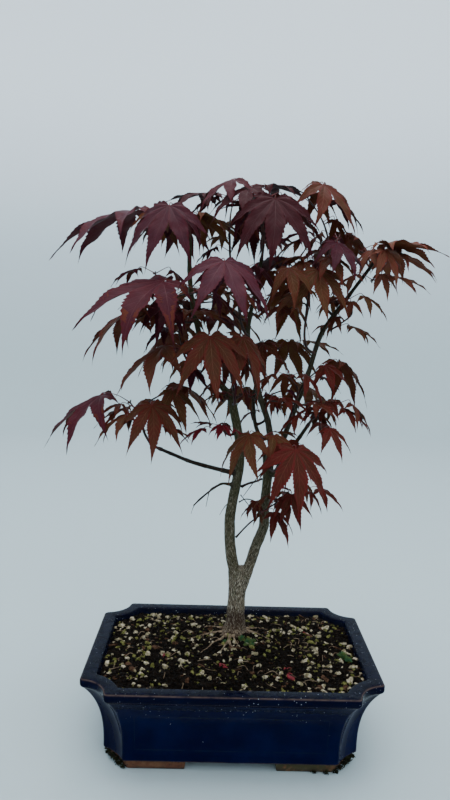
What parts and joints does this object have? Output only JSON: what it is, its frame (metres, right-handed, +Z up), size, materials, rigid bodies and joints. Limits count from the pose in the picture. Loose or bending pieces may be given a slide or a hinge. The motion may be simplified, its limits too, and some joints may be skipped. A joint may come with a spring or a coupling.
{
  "type": "japanese maple bonsai",
  "caption": "Japanese maple bonsai: forked trunk, spreading boughs and masses of drooping palmate leaves, rooted in a glazed rectangular pot with notched corners.",
  "frame": {"origin": "on the ground under the middle of the pot", "axes": "+Z up, +X to the right and +Y to the back, seen from the pot's long front face"},
  "size_m": [0.345, 0.2111, 0.4957],
  "materials": {
    "blue_glaze": "very dark glossy navy glaze, paler on the rim",
    "terracotta": "bare unglazed terracotta",
    "compost": "dark gritty bonsai compost",
    "bark": "grey-brown bark with pale streaks",
    "green_bark": "olive green young bark",
    "young_bark": "smooth dark red-brown bark",
    "leaves": "matt purple-red maple leaf"
  },
  "bodies": {
    "root": {"pot": "blue_glaze", "foot_front_left": "terracotta", "foot_back_left": "terracotta", "foot_front_right": "terracotta", "foot_back_right": "terracotta", "soil": "compost", "trunk": "bark", "left_stem": "bark", "right_stem": "green_bark", "left_leader": "young_bark", "inner_leader": "young_bark", "right_bough": "young_bark", "right_bough_tip": "young_bark", "right_low_bough": "young_bark", "left_bough": "young_bark", "back_bough": "young_bark", "bare_twig": "young_bark", "leaves_left_top": "leaves", "leaves_left_middle": "leaves", "leaves_left_low": "leaves", "leaves_left_bough": "leaves", "leaves_centre_low": "leaves", "leaves_centre_front": "leaves", "leaves_centre_back": "leaves", "leaves_top": "leaves", "leaves_top_back": "leaves", "leaves_right_top": "leaves", "leaves_right_middle": "leaves", "leaves_right_tip": "leaves", "leaves_right_spur": "leaves", "leaves_right_inner": "leaves", "leaves_right_low": "leaves", "leaves_right_front": "leaves", "leaves_right_foot": "leaves", "leaves_front_low": "leaves", "leaves_back_low": "leaves", "leaves_back_middle": "leaves", "leaves_young": "leaves"}
  },
  "joints": []
}
